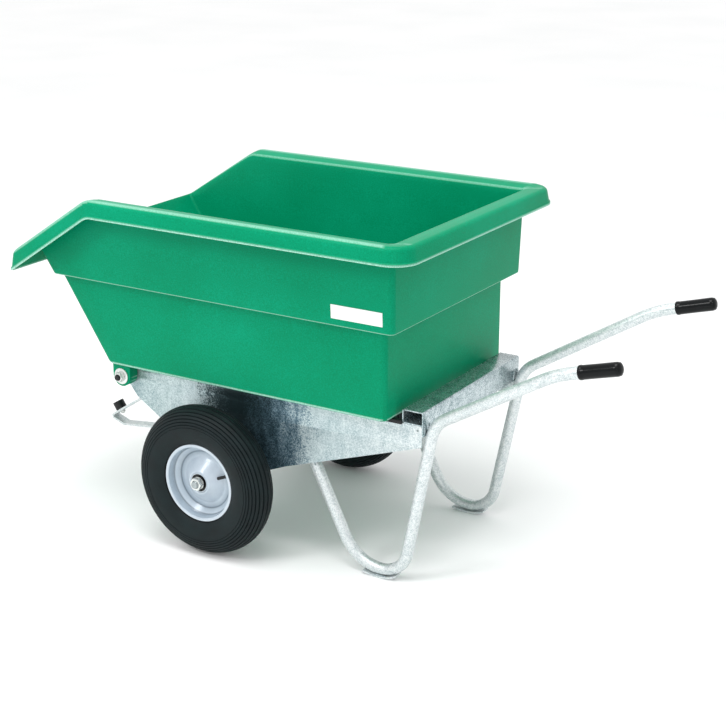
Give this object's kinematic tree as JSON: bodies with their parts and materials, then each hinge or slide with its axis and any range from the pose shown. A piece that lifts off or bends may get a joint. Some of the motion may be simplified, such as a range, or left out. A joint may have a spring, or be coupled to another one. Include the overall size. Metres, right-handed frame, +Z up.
{
  "type": "garden cart",
  "caption": "Two-wheeled garden cart: a deep plastic tub that tips forward on a galvanised frame with pneumatic wheels, bent tube legs, push handles and a rubber-tipped stop.",
  "frame": {"origin": "on the floor, at the middle of the cart's length and width", "axes": "+X towards the handles (the pouring lip is at -X), +Y across the cart to the right of a person pushing it, +Z up"},
  "size_m": [1.6974, 0.8, 0.9044],
  "materials": {
    "tub_green": "satin moulded polyethylene, fine orange-peel skin",
    "label_white": "blank printed plate, satin",
    "galvanised": "hot-dip galvanised, mottled grey spangle",
    "zinc_plated": "bright zinc plating",
    "bolt_black": "black oxide steel",
    "rim_silver": "gloss silver-grey paint",
    "bearing_steel": "ground bearing steel",
    "tyre_black": "black tyre rubber, ribbed tread",
    "rubber_black": "moulded black rubber",
    "grip_black": "gloss black soft plastic"
  },
  "bodies": {
    "frame": {"axle": "galvanised", "axle_nut_left": "zinc_plated", "axle_nut_right": "zinc_plated", "axle_washer_left": "zinc_plated", "axle_washer_right": "zinc_plated", "buffer_nut": "zinc_plated", "buffer_stud": "zinc_plated", "foot_skid_left": "galvanised", "foot_skid_right": "galvanised", "front_cross_tube": "galvanised", "grip_left": "grip_black", "grip_right": "grip_black", "handle_tube_left": "galvanised", "handle_tube_right": "galvanised", "pivot_bolt_left": "bolt_black", "pivot_bolt_right": "bolt_black", "pivot_nut_left": "zinc_plated", "pivot_nut_right": "zinc_plated", "pivot_spacer_left": "zinc_plated", "pivot_spacer_right": "zinc_plated", "pivot_washer_left": "zinc_plated", "pivot_washer_right": "zinc_plated", "rear_beam": "galvanised", "rest_strip_left": "rubber_black", "rest_strip_right": "rubber_black", "side_plate_left": "galvanised", "side_plate_right": "galvanised", "stop_bracket": "galvanised", "stop_buffer": "rubber_black"},
    "tub": {"tub": "tub_green", "label_plate": "label_white", "pivot_bush_left": "zinc_plated", "pivot_bush_right": "zinc_plated"},
    "wheel_left": {"bearing_inner_left": "bearing_steel", "bearing_outer_left": "bearing_steel", "bearing_spacer_left": "bearing_steel", "hub_tube_left": "galvanised", "inner_tube_left": "rubber_black", "rim_inner_left": "rim_silver", "rim_outer_left": "rim_silver", "tyre_left": "tyre_black", "valve_cap_left": "rubber_black", "valve_stem_left": "rubber_black"},
    "wheel_right": {"bearing_inner_right": "bearing_steel", "bearing_outer_right": "bearing_steel", "bearing_spacer_right": "bearing_steel", "hub_tube_right": "galvanised", "inner_tube_right": "rubber_black", "rim_inner_right": "rim_silver", "rim_outer_right": "rim_silver", "tyre_right": "tyre_black", "valve_cap_right": "rubber_black", "valve_stem_right": "rubber_black"}
  },
  "joints": [
    {"name": "tub_tip", "type": "hinge", "parent": "frame", "child": "tub", "pos_m": [-0.568, 0, 0.409], "axis": [0, -1, 0], "range_deg": [0, 93.4]},
    {"name": "wheel_left_spin", "type": "hinge", "parent": "frame", "child": "wheel_left", "pos_m": [-0.259, -0.342, 0.2], "axis": [0, 1, 0], "continuous": true},
    {"name": "wheel_right_spin", "type": "hinge", "parent": "frame", "child": "wheel_right", "pos_m": [-0.259, 0.342, 0.2], "axis": [0, 1, 0], "continuous": true}
  ]
}
